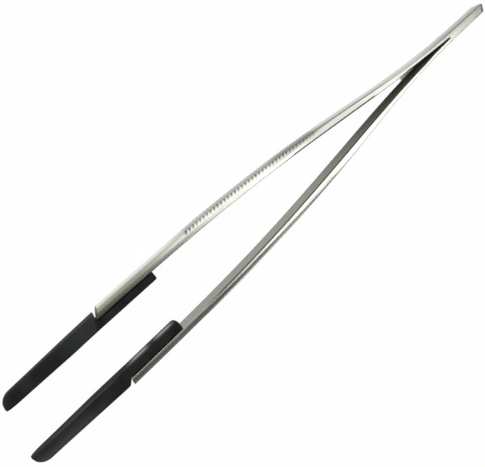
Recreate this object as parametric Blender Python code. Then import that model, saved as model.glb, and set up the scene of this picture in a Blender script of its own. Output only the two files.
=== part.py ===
"""Aquascaping tweezers: two bowed spring-steel arms welded at the heel, each with a black plastic tip.

The tweezers lie on the side edges of their arms. X runs from the heel to the tips, Z is the width of
the arms, and the two arms spread to the left (+Y) and to the right (-Y). Distances along an arm are
measured from the start of its bow. Each arm bends where it leaves the heel, on a hinge line along Z.
"""

import math

import bmesh
import bpy
import numpy as np

# Steel arms
ARM_LENGTH = 0.2657  # start of the bow to the end of the plastic tip, right arm
STAGGER_LENGTH = 0.0045  # the left arm reaches this much further than the right
ARM_WIDTH = 0.0090
STEEL_LENGTH = 0.2212  # start of the bow to the square-cut end of the steel
HEEL_LENGTH = 0.0220  # welded and ground flush up to here
BUTT_OVERRUN = 0.0018  # the butt stands this far behind the start of the bow
HEEL_THICKNESS = 0.00166  # one strip
GRIP_THICKNESS = 0.00370
STEEL_END_THICKNESS = 0.00325
THICKEN_START = 0.0216
THICKEN_END = 0.1265
THIN_START = 0.1650
THIN_END = 0.1900

# Bow of the arms: the inner face stands off the seam by SPREAD where the bow has run out
SPREAD = 0.0123
BOW_LENGTH = 0.2350
BOW_FILL = 3.0  # how early the arm turns parallel again
BOW_EASE = 3.2  # how gently it leaves the heel
SEAM_GAP = 0.0003

# Edges of the steel
EDGE_DEPTH = 0.0005  # rounding of the outer edges on the heel, into the thickness and over the width
EDGE_REACH = 0.0014
INNER_CHAMFER = 0.0003
OVAL_DEPTH = 0.00275  # from the grip on, the outer face rounds over to a half oval
OVAL_REACH = 0.0030
OVAL_START = 0.0850
OVAL_END = 0.1580
BUTT_RADIUS = 0.0006
BUTT_SLANT = 0.0018

# Grip: cross grooves over the outer face
GRIP_START = 0.1050
GRIP_LENGTH = 0.0700
GROOVE_PITCH = 0.00184
GROOVE_DEPTH = 0.00042
CREST_SHARE = 0.30  # flat share of each pitch

# Plastic tips
TONGUE_LENGTH = 0.0266  # lies along the inner face of the steel
TONGUE_THICKNESS = 0.0037
TIP_WIDTH = 0.0086
TIP_SEAT_GAP = 0.0003
SLIT = 0.0008  # between the end of the steel and the shoulder of the nose
NOSE_RISE = 0.0024  # outer face of the nose above the inner face of the steel, at the shoulder
NOSE_END_RISE = 0.0014
NOSE_END_WIDTH = 0.0068
NOSE_ROUND = 0.0052  # length of the rounded end
END_EDGE = 0.0014
END_WIDTH = 0.0022
SHOULDER_RADIUS = 0.0007
TONGUE_CORNER = 0.0011  # radius of the rear corners, seen on the inner face
TONGUE_CROWN = 0.0009  # depth and reach of the rounding on the tongue's inner side
TONGUE_CROWN_REACH = 0.0030
CROWN_FADE_START = -0.0020  # along the tip, from the end of the steel
CROWN_FADE_END = 0.0160
NOSE_INNER_ROUND = 0.0007
NOSE_INNER_REACH = 0.0013
NOSE_OUTER_ROUND = 0.0016
NOSE_OUTER_REACH = 0.0022
MOST_DEPTH_SHARE = 0.49  # most that one rounding takes of the depth and of half the width
MOST_REACH_SHARE = 0.90
TONGUE_BACK_ROUND = 0.0004

# Dowels that hold each tongue to its arm
PIN_RADIUS = 0.0010
PIN_IN_STEEL = 0.0013
PIN_IN_TIP = 0.0021
PIN_CLEARANCE = 0.0003
PIN_CHAMFER = 0.0002
PIN_SIDES = 20
PIN_FRONT_SHARE = 0.26  # place along the tongue, from the end of the steel
PIN_REAR_SHARE = 0.72

# Fineness
CORNER_STEPS = 3
STRIP_STEPS = 4
TONGUE_STEPS = 4
ARM_STEP = 0.0065
TINY_STEP = 0.00005
SHARP_ANGLE = math.radians(32)

OVERALL_LENGTH = BUTT_OVERRUN + ARM_LENGTH + STAGGER_LENGTH
NOSE_LENGTH = ARM_LENGTH - STEEL_LENGTH
SPLIT_GAP = SEAM_GAP
SIDES = {"left": STAGGER_LENGTH, "right": 0.0}

STEEL = ((0.60, 0.60, 0.575), 0.28, 1.0)
PLASTIC = ((0.018, 0.020, 0.021), 0.36, 0.0)
DOWEL = ((0.50, 0.50, 0.49), 0.35, 1.0)


def clear_scene():
    for obj in list(bpy.data.objects):
        bpy.data.objects.remove(obj, do_unlink=True)


def ease(value, start, end):
    """0 before start, 1 after end, smooth between them."""
    t = np.clip((np.asarray(value, float) - start) / (end - start), 0.0, 1.0)
    return t * t * (3.0 - 2.0 * t)


def inner_face(u):
    """Distance of the arm's inner face from the mid-plane, at distance u from the butt."""
    v = np.clip(np.asarray(u, float) / BOW_LENGTH, 0.0, 1.0)
    return SEAM_GAP / 2 + SPREAD * (1.0 - (1.0 - v) ** BOW_FILL) ** BOW_EASE


def outward(u):
    """Unit vector across the strip, away from the other arm."""
    slope = (inner_face(u + TINY_STEP) - inner_face(u - TINY_STEP)) / (2 * TINY_STEP)
    length = np.sqrt(1.0 + slope**2)
    return np.stack([-slope / length, 1.0 / length], axis=-1)


def thickness(u):
    thicker = (GRIP_THICKNESS - HEEL_THICKNESS) * ease(u, THICKEN_START, THICKEN_END)
    thinner = (GRIP_THICKNESS - STEEL_END_THICKNESS) * ease(u, THIN_START, THIN_END)
    return HEEL_THICKNESS + thicker - thinner


def groove_stations():
    """Places along the arm that the grooves need, each with its depth: crest, bottom, crest and so on."""
    count = max(int(GRIP_LENGTH / GROOVE_PITCH), 1)
    first = GRIP_START + (GRIP_LENGTH - count * GROOVE_PITCH) / 2
    half_crest = CREST_SHARE * GROOVE_PITCH / 2
    places = [(first + half_crest, 0.0)]
    for k in range(count):
        start = first + k * GROOVE_PITCH
        places.append((start + GROOVE_PITCH / 2, GROOVE_DEPTH))
        places.append((start + GROOVE_PITCH - half_crest, 0.0))
        if k < count - 1:
            places.append((start + GROOVE_PITCH + half_crest, 0.0))
    return places


def arm_stations(start):
    grip = groove_stations()
    before_run = grip[0][0] - start
    before = np.linspace(start, grip[0][0], max(int(before_run / ARM_STEP), 2) + 1)[:-1]
    after_run = STEEL_LENGTH - grip[-1][0]
    after = np.linspace(grip[-1][0], STEEL_LENGTH, max(int(after_run / ARM_STEP), 2) + 1)[1:]
    places = [(u, 0.0) for u in before] + grip + [(u, 0.0) for u in after]
    return np.array([p[0] for p in places]), np.array([p[1] for p in places])


def strip_section(u, groove):
    """Outline of the strip at u: (distance out from the inner face, height) round the section."""
    thick = float(thickness(u))
    oval = float(ease(u, OVAL_START, OVAL_END))
    depth = EDGE_DEPTH + (OVAL_DEPTH - EDGE_DEPTH) * oval
    reach = EDGE_REACH + (OVAL_REACH - EDGE_REACH) * oval
    turn = np.linspace(0.0, math.pi / 2, STRIP_STEPS + 1)
    out = thick - depth + depth * np.sin(turn)
    up = ARM_WIDTH - reach + reach * np.cos(turn)
    out = np.minimum(out, thick - groove)
    upper = np.stack([out, up], axis=1)
    lower = np.stack([out[::-1], ARM_WIDTH - up[::-1]], axis=1)
    flat_top = ARM_WIDTH - INNER_CHAMFER
    inner = np.array([[0.0, INNER_CHAMFER], [0.0, flat_top], [INNER_CHAMFER, ARM_WIDTH]])
    last = np.array([[INNER_CHAMFER, 0.0]])
    return np.concatenate([inner, upper, lower, last])


def hinge_point(side, shift):
    """The bend line of an arm: the middle of the strip where it leaves the heel."""
    u = HEEL_LENGTH - shift
    y = side * (float(inner_face(u)) + HEEL_THICKNESS / 2)
    return np.array([BUTT_OVERRUN + HEEL_LENGTH - OVERALL_LENGTH / 2, y, 0.0])


def to_part(along, across, up, side, shift):
    """Arm coordinates to the part's own frame, whose origin is under the middle of the part."""
    start = BUTT_OVERRUN + shift - OVERALL_LENGTH / 2
    return np.stack([along + start, side * across, up], axis=-1)


def arm_rings(side, shift):
    stations, grooves = arm_stations(HEEL_LENGTH + SPLIT_GAP - shift)
    rings = []
    for u, groove in zip(stations, grooves):
        section = strip_section(u, groove)
        normal = outward(u)
        along = u + section[:, 0] * normal[0]
        across = float(inner_face(u)) + section[:, 0] * normal[1]
        rings.append(to_part(along, across, section[:, 1], side, shift))
    return np.array(rings)


def heel_rings():
    """Sections of the welded heel: both strips as one body, with a rounded, slightly slanted butt."""
    turn = np.linspace(0.0, math.pi / 2, 2 * CORNER_STEPS + 1)
    rounded = BUTT_RADIUS * (1.0 - np.cos(turn)) - BUTT_OVERRUN
    straight = np.linspace(rounded[-1], HEEL_LENGTH, CORNER_STEPS + 2)[1:]
    stations = np.concatenate([rounded, straight])
    rings = []
    for x in stations:
        left = float(inner_face(x - STAGGER_LENGTH) + thickness(x - STAGGER_LENGTH))
        right = float(inner_face(x) + thickness(x))
        back = max(rounded[-1] - x, 0.0)
        lift = BUTT_RADIUS - math.sqrt(max(BUTT_RADIUS**2 - back**2, 0.0))
        arc = np.linspace(0.0, math.pi / 2, STRIP_STEPS + 1)
        inset = EDGE_DEPTH * (1.0 - np.sin(arc))
        rise = EDGE_REACH * (1.0 - np.cos(arc))
        low = lift + rise
        corner = np.concatenate(
            [
                np.stack([inset - right, low], axis=1),
                np.stack([inset - right, ARM_WIDTH - low], axis=1)[::-1],
                np.stack([left - inset, ARM_WIDTH - low], axis=1),
                np.stack([left - inset, low], axis=1)[::-1],
            ]
        )
        slant = BUTT_SLANT * (1.0 - ease(x, -BUTT_OVERRUN, HEEL_LENGTH))
        lean = slant * (corner[:, 0] + right) / (left + right)
        rings.append(to_part(x + lean, corner[:, 0], corner[:, 1], 1.0, 0.0))
    return np.array(rings)


def tip_frame():
    """Origin, direction and outward normal of a tip, which follows the last stretch of the inner face."""
    start = STEEL_LENGTH - TONGUE_LENGTH
    rear = np.array([start, float(inner_face(start))])
    front = np.array([STEEL_LENGTH, float(inner_face(STEEL_LENGTH))])
    direction = (front - rear) / np.linalg.norm(front - rear)
    return front, direction, np.array([-direction[1], direction[0]])


def tip_section(inner, outer, half_width, inner_depth, inner_reach, outer_depth, outer_reach):
    """Rounded outline between the inner and outer faces, with its own rounding on each."""
    most = MOST_DEPTH_SHARE * (outer - inner)
    inner_depth = min(inner_depth, most)
    outer_depth = min(outer_depth, most)
    inner_reach = min(inner_reach, MOST_REACH_SHARE * half_width)
    outer_reach = min(outer_reach, MOST_REACH_SHARE * half_width)
    turn = np.linspace(0.0, math.pi / 2, CORNER_STEPS + 2)
    far = 1.0 - np.cos(turn)
    near = 1.0 - np.sin(turn)
    in_corner = np.stack([inner + inner_depth * far, half_width - inner_reach * near], axis=1)
    out_corner = np.stack([outer - outer_depth * near, half_width - outer_reach * far], axis=1)
    half = np.concatenate([in_corner, out_corner])
    other = half[::-1] * np.array([1.0, -1.0])
    return np.concatenate([half, other])


def tip_rings(side, shift):
    origin, direction, normal = tip_frame()
    inner = -TONGUE_THICKNESS
    seat = -TIP_SEAT_GAP
    half = TIP_WIDTH / 2
    tongue_outer = np.array([TONGUE_BACK_ROUND, TONGUE_BACK_ROUND])
    nose_outer = np.array([NOSE_OUTER_ROUND, NOSE_OUTER_REACH])
    tongue_inner = np.array([TONGUE_CROWN, TONGUE_CROWN_REACH])
    nose_inner = np.array([NOSE_INNER_ROUND, NOSE_INNER_REACH])
    rows = []
    for turn in np.linspace(0.0, math.pi / 2, CORNER_STEPS + 1):
        along = TONGUE_CORNER * (1.0 - math.cos(turn)) - TONGUE_LENGTH
        wide = half - TONGUE_CORNER * (1.0 - math.sin(turn))
        rows.append((along, seat, wide, tongue_outer))
    for share in np.linspace(1.0, 0.0, TONGUE_STEPS + 1)[1:-1]:
        rows.append((-TONGUE_LENGTH * share, seat, half, tongue_outer))
    rows.append((SLIT - TINY_STEP, seat, half, tongue_outer))
    for turn in np.linspace(0.0, math.pi / 2, CORNER_STEPS + 1):
        along = SLIT + SHOULDER_RADIUS * (1.0 - math.cos(turn))
        drop = SHOULDER_RADIUS * (1.0 - math.sin(turn))
        rounds = tongue_outer + (nose_outer - tongue_outer) * math.sin(turn)
        rows.append((along, NOSE_RISE - drop, half, rounds))
    straight_end = NOSE_LENGTH - NOSE_ROUND
    for share in np.linspace(0.0, 1.0, 2 * CORNER_STEPS + 1)[1:]:
        along = SLIT + SHOULDER_RADIUS + (straight_end - SLIT - SHOULDER_RADIUS) * share
        rise = NOSE_RISE + (NOSE_END_RISE - NOSE_RISE) * share
        wide = half + (NOSE_END_WIDTH / 2 - half) * float(ease(share, 0.0, 1.0))
        rows.append((along, rise, wide, nose_outer))
    for turn in np.linspace(0.0, math.pi / 2, 3 * CORNER_STEPS)[1:]:
        along = straight_end + NOSE_ROUND * math.sin(turn)
        rise = inner + END_EDGE + (NOSE_END_RISE - inner - END_EDGE) * math.cos(turn)
        wide = END_WIDTH / 2 + (NOSE_END_WIDTH / 2 - END_WIDTH / 2) * math.cos(turn)
        rows.append((along, rise, wide, nose_outer))
    rings = []
    for along, outer, wide, outer_round in rows:
        fade = float(ease(along, CROWN_FADE_START, CROWN_FADE_END))
        inner_round = tongue_inner + (nose_inner - tongue_inner) * fade
        section = tip_section(inner, outer, wide, *inner_round, *outer_round)
        flat = origin + along * direction + section[:, :1] * normal
        rings.append(to_part(flat[:, 0], flat[:, 1], ARM_WIDTH / 2 + section[:, 1], side, shift))
    return np.array(rings)


def dowel_rings(side, shift, share, grow, chamfer):
    """A short round bar across the joint of tongue and steel; grow makes the hole for it."""
    origin, direction, normal = tip_frame()
    centre = origin - TONGUE_LENGTH * share * direction
    turn = np.linspace(0.0, 2 * math.pi, PIN_SIDES, endpoint=False)
    radius = PIN_RADIUS + grow
    low = -PIN_IN_TIP - grow
    high = PIN_IN_STEEL + grow
    rows = [(low, radius - chamfer), (high, radius - chamfer)]
    if chamfer > 0.0:
        rows[1:1] = [(low + chamfer, radius), (high - chamfer, radius)]
    rings = []
    for across, r in rows:
        flat = centre + across * normal + r * np.cos(turn)[:, None] * direction
        rings.append(to_part(flat[:, 0], flat[:, 1], ARM_WIDTH / 2 + r * np.sin(turn), side, shift))
    return np.array(rings)


def loft(name, rings, origin):
    """One closed mesh through rings of points, with a flat cap at each end."""
    rows, points = rings.shape[:2]
    mesh = bpy.data.meshes.new(name)
    faces = []
    for i in range(rows - 1):
        for j in range(points):
            k = (j + 1) % points
            faces.append((i * points + j, i * points + k, (i + 1) * points + k, (i + 1) * points + j))
    faces.append(tuple(range(points))[::-1])
    faces.append(tuple(range((rows - 1) * points, rows * points)))
    mesh.from_pydata((rings - origin).reshape(-1, 3).tolist(), [], faces)
    work = bmesh.new()
    work.from_mesh(mesh)
    bmesh.ops.recalc_face_normals(work, faces=work.faces)
    work.to_mesh(mesh)
    work.free()
    mesh.polygons.foreach_set("use_smooth", [True] * len(mesh.polygons))
    mesh.set_sharp_from_angle(angle=SHARP_ANGLE)
    obj = bpy.data.objects.new(name, mesh)
    bpy.context.scene.collection.objects.link(obj)
    return obj


def paint(obj, look):
    colour, roughness, metallic = look
    material = bpy.data.materials.new(obj.name + "_surface")
    material.use_nodes = True
    shader = material.node_tree.nodes["Principled BSDF"]
    shader.inputs["Base Color"].default_value = (*colour, 1.0)
    shader.inputs["Roughness"].default_value = roughness
    shader.inputs["Metallic"].default_value = metallic
    obj.data.materials.append(material)


def bore(obj, cutter):
    hole = obj.modifiers.new("bore_" + cutter.name, "BOOLEAN")
    hole.operation = "DIFFERENCE"
    hole.solver = "EXACT"
    hole.object = cutter


def hinge(name, point):
    empty = bpy.data.objects.new(name, None)
    empty.location = point
    bpy.context.scene.collection.objects.link(empty)
    return empty


def build_side(word, side, shift):
    axis_point = hinge_point(side, shift)
    pivot = hinge(word + "_hinge", axis_point)
    arm = loft(word + "_arm", arm_rings(side, shift), axis_point)
    paint(arm, STEEL)
    tip = loft(word + "_tip", tip_rings(side, shift), axis_point)
    paint(tip, PLASTIC)
    moving = [arm, tip]
    for place, share in (("front", PIN_FRONT_SHARE), ("rear", PIN_REAR_SHARE)):
        bar = dowel_rings(side, shift, share, 0.0, PIN_CHAMFER)
        pin = loft(f"{word}_pin_{place}", bar, axis_point)
        paint(pin, DOWEL)
        hole = dowel_rings(side, shift, share, PIN_CLEARANCE, 0.0)
        cutter = loft(f"{word}_bore_{place}", hole, axis_point)
        cutter.hide_render = True
        cutter.display_type = "WIRE"
        bore(arm, cutter)
        bore(tip, cutter)
        moving += [pin, cutter]
    for obj in moving:
        obj.parent = pivot


clear_scene()
heel = loft("heel", heel_rings(), np.zeros(3))
paint(heel, STEEL)
for side_word, side_shift in SIDES.items():
    build_side(side_word, 1.0 if side_word == "left" else -1.0, side_shift)
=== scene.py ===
# %% [markdown]
# # Planting tweezers for an aquarium
#
# The real tweezers are two long strips of spring steel. They are welded together at the heel, bow apart,
# and end in black plastic tips that are gentle on stems. The packed model has each piece at its real size.
# This lesson gives it its looks: finer skins for the steel and the plastic, their finishes, a pale table,
# soft light and a camera. The model is loaded first, because the weld and the tips move with its bodies.

# %% Load the packed model
import math

import bpy
import numpy as np
from mathutils import Matrix, Vector


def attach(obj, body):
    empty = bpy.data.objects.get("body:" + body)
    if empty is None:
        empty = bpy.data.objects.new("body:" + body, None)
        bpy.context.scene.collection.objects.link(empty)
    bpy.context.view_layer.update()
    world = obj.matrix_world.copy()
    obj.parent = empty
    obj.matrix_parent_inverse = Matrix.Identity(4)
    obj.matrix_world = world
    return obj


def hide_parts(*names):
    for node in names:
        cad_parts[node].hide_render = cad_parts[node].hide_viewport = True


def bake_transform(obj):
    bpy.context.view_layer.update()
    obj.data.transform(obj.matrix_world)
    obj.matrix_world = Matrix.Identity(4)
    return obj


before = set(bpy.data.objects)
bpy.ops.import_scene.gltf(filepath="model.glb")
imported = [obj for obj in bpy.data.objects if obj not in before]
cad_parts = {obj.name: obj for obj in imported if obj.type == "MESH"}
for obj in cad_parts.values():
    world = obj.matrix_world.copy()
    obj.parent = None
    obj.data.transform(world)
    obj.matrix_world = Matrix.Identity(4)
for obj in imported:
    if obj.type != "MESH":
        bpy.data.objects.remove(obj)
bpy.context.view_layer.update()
print("nodes:", sorted(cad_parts))

# %% [markdown]
# ## Sizes
#
# A finer skin has to lie where the solid lies, so it starts from the same sizes, in metres. Distances along
# an arm are measured from the start of its bow. The left arm reaches a little further than the right one.

# %% Sizes of the steel
MM = 1000.0
ARM_WIDTH = 0.0090
STEEL_LENGTH = 0.2212
NOSE_END = 0.2657
STAGGER = 0.0045
BUTT_OVERRUN = 0.0018
HEEL_LENGTH = 0.0220
HEEL_THICKNESS = 0.00166
GRIP_THICKNESS = 0.00370
STEEL_END_THICKNESS = 0.00325
THICKEN_START, THICKEN_END = 0.0216, 0.1265
THIN_START, THIN_END = 0.1650, 0.1900
SEAM = 0.0003

HALF_WIDTH = ARM_WIDTH / 2
BOW_START = BUTT_OVERRUN - (BUTT_OVERRUN + NOSE_END + STAGGER) / 2
SIDES = {"left": (1.0, STAGGER), "right": (-1.0, 0.0)}
print(f"the bow starts at x = {BOW_START * MM:.1f} mm")

# %% [markdown]
# ## The bow
#
# Seen from above, each strip leaves the heel gently, swings out, and runs nearly straight again along the
# grip. A curve drawn by hand could follow that, but one formula is easier to tune, and it gives the slope
# at every point. The slope is needed to stand the thickness of the strip square to the bow.

# %% Curves along an arm
SPREAD = 0.0123
BOW_LENGTH = 0.2350
BOW_FILL = 3.0
BOW_EASE = 3.2


def smooth(value, start, end):
    """0 before start and 1 after end. Between them it is 3t^2 - 2t^3, where t is the share of the way."""
    t = np.clip((value - start) / (end - start), 0.0, 1.0)
    return t * t * (3.0 - 2.0 * t)


def bow(u):
    """Distance of the inner face from the mid-plane: half the seam, plus SPREAD * (1 - (1 - v)^FILL)^EASE.

    v is the share u / BOW_LENGTH, held between 0 and 1.
    """
    v = np.clip(u / BOW_LENGTH, 0.0, 1.0)
    return SEAM / 2 + SPREAD * (1.0 - (1.0 - v) ** BOW_FILL) ** BOW_EASE


def square_to_bow(u, step=0.00005):
    """Unit vector across the strip: the slope dy/dx by a small difference, turned a quarter and scaled to 1."""
    slope = (bow(u + step) - bow(u - step)) / (2.0 * step)
    length = np.sqrt(1.0 + slope**2)
    return -slope / length, 1.0 / length


print(f"inner faces at the cut ends: {2 * bow(STEEL_LENGTH) * MM:.1f} mm apart")

# %% [markdown]
# ## The grip
#
# A row of cross grooves keeps wet fingers from slipping. They could be a bump in the material, but they also
# notch the outline of the strip, so they are cut into the shape. Each groove is a rounded V between flat
# crests, and the same function later tells the material where the grooves are.

# %% Thickness and grooves
GRIP_START = 0.1050
GRIP_LENGTH = 0.0700
GROOVE_PITCH = 0.00184
GROOVE_DEPTH = 0.00042
GROOVE_CURVE = 0.8
CREST_SHARE = 0.30

GROOVES = int(GRIP_LENGTH / GROOVE_PITCH)
FIRST_GROOVE = GRIP_START + (GRIP_LENGTH - GROOVES * GROOVE_PITCH) / 2
LAST_GROOVE = FIRST_GROOVE + GROOVES * GROOVE_PITCH


def thickness(u):
    """Heel thickness, swelling smoothly to the grip's, then thinning smoothly to the cut end's."""
    swell = (GRIP_THICKNESS - HEEL_THICKNESS) * smooth(u, THICKEN_START, THICKEN_END)
    taper = (GRIP_THICKNESS - STEEL_END_THICKNESS) * smooth(u, THIN_START, THIN_END)
    return HEEL_THICKNESS + swell - taper


def groove(u):
    """Depth of the cut: GROOVE_DEPTH * sin(pi * t)^GROOVE_CURVE.

    t crosses one groove and is 0 or 1 on the crests.
    """
    phase = ((u - FIRST_GROOVE) / GROOVE_PITCH) % 1.0
    t = np.clip((phase - CREST_SHARE / 2) / (1.0 - CREST_SHARE), 0.0, 1.0)
    on_grip = (u > FIRST_GROOVE) & (u < LAST_GROOVE)
    return np.where(on_grip, GROOVE_DEPTH * np.abs(np.sin(np.pi * t)) ** GROOVE_CURVE, 0.0)


print(f"{GROOVES} grooves over {(LAST_GROOVE - FIRST_GROOVE) * MM:.1f} mm")

# %% [markdown]
# ## The section of the strip
#
# At the heel the strip is a flat bar with eased edges. From the grip on, its outer side is ground over more and
# more, to a half oval. It is one outline whose outer corner is a quarter ellipse, and the two radii of the
# ellipse grow along the arm. All stations are worked out at once, as an array of stations by points.

# %% Outline of the strip
EDGE_DEPTH, EDGE_REACH = 0.0005, 0.0014
OVAL_DEPTH, OVAL_REACH = 0.00275, 0.0030
OVAL_START, OVAL_END = 0.0850, 0.1580
CORNER = np.linspace(0.0, math.pi / 2, 13)[None, :]
FACE_SHARES = np.array([[0.0, 0.3, 0.6, 0.82, 0.94]])
EDGE_SHARES = np.array([[0.12, 0.35, 0.65, 0.88]])


def whole_outline(half_out, half_up):
    """A half outline, from the middle of the inner face to the middle of the outer one, and its mirror image."""
    out = np.concatenate([half_out, half_out[:, -2:0:-1]], axis=1)
    up = np.concatenate([half_up, -half_up[:, -2:0:-1]], axis=1)
    return out, up


def strip_outline(u, inner_edge):
    """Distance out from the inner face and height above mid-width, each shaped (stations, points).

    The half outline has five runs: inner face, inner corner as a quarter circle, edge of the strip, outer
    corner as a quarter ellipse that grows from EDGE_DEPTH by EDGE_REACH to OVAL_DEPTH by OVAL_REACH, and
    outer face. The grooves then hold the outer distance down to thickness less groove.
    """
    thick = thickness(u)[:, None]
    oval = smooth(u, OVAL_START, OVAL_END)[:, None]
    depth = EDGE_DEPTH + (OVAL_DEPTH - EDGE_DEPTH) * oval
    reach = EDGE_REACH + (OVAL_REACH - EDGE_REACH) * oval
    small = inner_edge[:, None]
    flat = np.zeros_like(thick)
    half_out = [
        flat + 0.0 * FACE_SHARES,
        small * (1.0 - np.cos(CORNER)),
        small + (thick - depth - small) * EDGE_SHARES,
        thick - depth + depth * np.sin(CORNER),
        thick + 0.0 * FACE_SHARES,
    ]
    half_up = [
        (HALF_WIDTH - small) * FACE_SHARES,
        HALF_WIDTH - small * (1.0 - np.sin(CORNER)),
        flat + HALF_WIDTH + 0.0 * EDGE_SHARES,
        HALF_WIDTH - reach * (1.0 - np.cos(CORNER)),
        (HALF_WIDTH - reach) * FACE_SHARES[:, ::-1],
    ]
    out = np.minimum(np.concatenate(half_out, axis=1), thick - groove(u)[:, None])
    return whole_outline(out, np.concatenate(half_up, axis=1))


print(f"section at the cut end: {ARM_WIDTH * MM:.1f} by {thickness(STEEL_LENGTH) * MM:.2f} mm")

# %% Places round the outline
CORNER_STARTS = FACE_SHARES.size
EDGE_STARTS = CORNER_STARTS + CORNER.size
ROUND_STARTS = EDGE_STARTS + EDGE_SHARES.size
FACE_STARTS = ROUND_STARTS + CORNER.size
HALF_PLACES = np.arange(FACE_STARTS + FACE_SHARES.size)[None, :]
PLACES = whole_outline(HALF_PLACES, HALF_PLACES)[0]
print("points round the strip:", PLACES.size)

# %% [markdown]
# ## From rings to a mesh
#
# A skin is a stack of rings. Each ring joins the next one with four-sided faces, and one flat face closes
# each end. The same grid gives a map of the surface, in metres along and round the piece, so that brush
# lines can follow the steel round its bow. Small masks ride on the points for the materials to read.

# %% Mesh helper
FOLD_DEGREES = 38


def skin(name, rings, along, masks, flip, finishes=0, front_finish=0):
    """A closed mesh through rings shaped (stations, points, 3), with a surface map and one value per point
    for each mask. Face (i, j) joins points j and j + 1 of rings i and i + 1; flip turns every face round.
    finishes gives the number of the material for each face, and front_finish that of the front end."""
    rows, points = rings.shape[:2]
    i, j = np.meshgrid(np.arange(rows - 1), np.arange(points), indexing="ij")
    ring = np.stack([i, i, i + 1, i + 1], axis=-1).reshape(-1, 4)
    point = np.stack([j, j + 1, j + 1, j], axis=-1).reshape(-1, 4)
    ends = [np.arange(points)[::-1], (rows - 1) * points + np.arange(points)]
    if flip:
        ring, point = ring[:, ::-1], point[:, ::-1]
        ends = [end[::-1] for end in ends]
    faces = ring * points + point % points
    spots = rings.reshape(-1, 3)
    mesh = bpy.data.meshes.new(name)
    mesh.from_pydata(spots.tolist(), [], faces.tolist() + [end.tolist() for end in ends])

    hop = np.linalg.norm(np.roll(rings, -1, axis=1) - rings, axis=2).mean(axis=0)
    around = np.concatenate([[0.0], np.cumsum(hop)])
    side_map = np.stack([along[ring], around[point]], axis=-1).reshape(-1, 2)
    end_map = np.concatenate([spots[end][:, 1:] for end in ends])
    layer = mesh.uv_layers.new(name="surface")
    layer.data.foreach_set("uv", np.concatenate([side_map, end_map]).ravel())
    for mask, values in masks.items():
        mesh.attributes.new(mask, "FLOAT", "POINT").data.foreach_set("value", np.ravel(values))

    numbers = np.append(np.broadcast_to(finishes, (rows - 1, points)), [0, front_finish])
    mesh.polygons.foreach_set("material_index", numbers.astype(np.int32))
    mesh.polygons.foreach_set("use_smooth", np.ones(len(mesh.polygons), bool))
    mesh.set_sharp_from_angle(angle=math.radians(FOLD_DEGREES))
    mesh.update()
    piece = bpy.data.objects.new(name, mesh)
    bpy.context.scene.collection.objects.link(piece)
    return piece


print("folds over", FOLD_DEGREES, "degrees stay sharp")

# %% [markdown]
# ## The steel arms
#
# On the real tweezers one strip runs from the butt to the tip. The solids are cut at the heel because the
# arm has to turn there, but a visible cut would look wrong. So each skin is one strip from end to end, curving
# from the heel into the arm. Its two ends get small round-overs, as tumbled steel has. The front end is not
# cut quite square, and the nose of the tip follows the cut across a narrow slit.

# %% Stations and round-overs
BUTT_RADIUS = 0.0006
CUT_RADIUS = 0.00018
QUARTER = np.linspace(0.0, math.pi / 2, 6)
PLAIN_STATIONS, STATIONS_PER_GROOVE, FRONT_STATIONS = 90, 12, 48


def strip_stations(shift):
    """Places along a strip: close together on the butt, over each groove and on the cut end, wide between."""
    butt = -BUTT_OVERRUN - shift
    cut_starts = STEEL_LENGTH - CUT_RADIUS
    return np.concatenate([
        butt + BUTT_RADIUS * (1.0 - np.cos(QUARTER)),
        np.linspace(butt + BUTT_RADIUS, FIRST_GROOVE, PLAIN_STATIONS)[1:],
        np.linspace(FIRST_GROOVE, LAST_GROOVE, GROOVES * STATIONS_PER_GROOVE + 1)[1:],
        np.linspace(LAST_GROOVE, cut_starts, FRONT_STATIONS)[1:],
        cut_starts + CUT_RADIUS * np.sin(QUARTER[1:]),
    ])


def round_over(distance, radius):
    """How far a round-over draws in: r - sqrt(r^2 - d^2), where d is the distance past its start."""
    past = np.clip(distance, 0.0, radius)
    return radius - np.sqrt(radius**2 - past**2)


print("stations on the left strip:", strip_stations(STAGGER).size)

# %% Slants of the two ends
BUTT_SLANT = 0.0018
SLIT_RISE = {"left": 0.48, "right": 0.20}
SLIT_LEAN = {"left": 0.30, "right": -0.72}
SLANT_RUN, SLANT_HOLD = 0.0120, 0.0040


def slit_slant(word, along, out, up, set_back):
    """Shift along the arm that slants the slit: rise * height + lean * distance out - set_back.

    It is full from along = 0, the slit, to SLANT_HOLD, and dies out over SLANT_RUN on either side.
    """
    share = smooth(along, -SLANT_RUN, 0.0) - smooth(along, SLANT_HOLD, SLANT_HOLD + SLANT_RUN)
    return (SLIT_RISE[word] * up + SLIT_LEAN[word] * out - set_back) * share[:, None]


def butt_lean(x, y):
    """The butt is cut at a slant: BUTT_SLANT times the share of the heel's width, dying out along the heel."""
    share = 0.5 + 0.5 * y / (SEAM / 2 + HEEL_THICKNESS)
    return BUTT_SLANT * share * (1.0 - smooth(x, -BUTT_OVERRUN, HEEL_LENGTH))


print(f"the butt slants by {BUTT_SLANT * MM:.1f} mm")

# %% Rings of a strip
INNER_EDGE, FLUSH_EDGE = 0.00045, 0.00002
WELD_END = 0.0235
OPENS_FROM, OPENS_TO = WELD_END - 0.003, WELD_END + 0.004
CUT_BACK = {"left": 0.0016, "right": 0.0002}


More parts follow.
